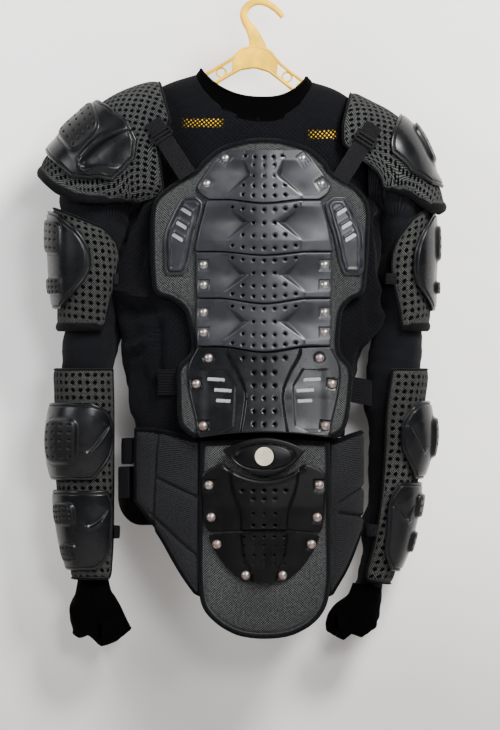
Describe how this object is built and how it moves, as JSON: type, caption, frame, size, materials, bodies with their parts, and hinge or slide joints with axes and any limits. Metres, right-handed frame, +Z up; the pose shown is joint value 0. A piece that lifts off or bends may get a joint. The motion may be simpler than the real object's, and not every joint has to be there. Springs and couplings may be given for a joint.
{
  "type": "long-sleeved motorcycle protective vest on a coat hanger",
  "caption": "Armoured mesh jacket for riders with plated spine, shoulder, elbow and forearm guards and a kidney belt, hanging from a plastic coat hanger",
  "frame": {"origin": "where the hanger's hook hangs on its rail, the top of the inside of the hook", "axes": "+Z up, the jacket's back with its spine plates faces -Y, the wearer's left arm is on -X"},
  "size_m": [0.5782, 0.186, 0.8951],
  "materials": {
    "knit_mesh": "open knitted mesh, matte",
    "stretch_cloth": "stretch knit, matte",
    "zip_facing": "plain facing over a zip, matte",
    "air_mesh": "perforated spacer mesh, matte",
    "armour_plastic": "satin moulded plastic with fine scratches",
    "back_cloth": "speckled woven cover, matte",
    "belt_cloth": "fine dark weave, quilted, matte",
    "webbing": "woven webbing and elastic, matte",
    "slide_plastic": "moulded, slightly glossy",
    "badge_disc": "plain pale disc, satin",
    "hanger_plastic": "translucent-looking moulded plastic"
  },
  "bodies": {
    "root": {"body": "knit_mesh", "sleeve_left": "stretch_cloth", "sleeve_right": "stretch_cloth", "collar": "stretch_cloth", "cuff_left": "stretch_cloth", "cuff_right": "stretch_cloth", "front_zip": "zip_facing", "shoulder_pad_left": "air_mesh", "shoulder_pad_right": "air_mesh", "upper_arm_pad_left": "air_mesh", "upper_arm_pad_right": "air_mesh", "forearm_pad_left": "air_mesh", "forearm_pad_right": "air_mesh", "shoulder_shell_left": "armour_plastic", "shoulder_shell_right": "armour_plastic", "upper_arm_shell_left": "armour_plastic", "upper_arm_shell_right": "armour_plastic", "elbow_shell_left": "armour_plastic", "elbow_shell_right": "armour_plastic", "forearm_shell_left": "armour_plastic", "forearm_shell_right": "armour_plastic", "blade_plate_left": "armour_plastic", "blade_plate_right": "armour_plastic", "spine_plate_1": "armour_plastic", "spine_plate_2": "armour_plastic", "spine_plate_3": "armour_plastic", "spine_plate_4": "armour_plastic", "spine_plate_5": "armour_plastic", "tail_plate_1": "armour_plastic", "tail_plate_2": "armour_plastic", "lumbar_badge": "armour_plastic", "back_pad": "back_cloth", "tail_pad": "back_cloth", "belt_wing_left": "belt_cloth", "belt_wing_right": "belt_cloth", "belt_strap_upper": "webbing", "belt_strap_lower": "webbing", "upper_arm_band_left": "webbing", "upper_arm_band_right": "webbing", "forearm_band_left": "webbing", "forearm_band_right": "webbing", "waist_band_left": "webbing", "waist_band_right": "webbing", "shoulder_strap_left": "webbing", "shoulder_strap_right": "webbing", "strap_slide_left": "slide_plastic", "strap_slide_right": "slide_plastic", "badge_disc": "badge_disc", "hanger": "hanger_plastic"}
  },
  "joints": []
}
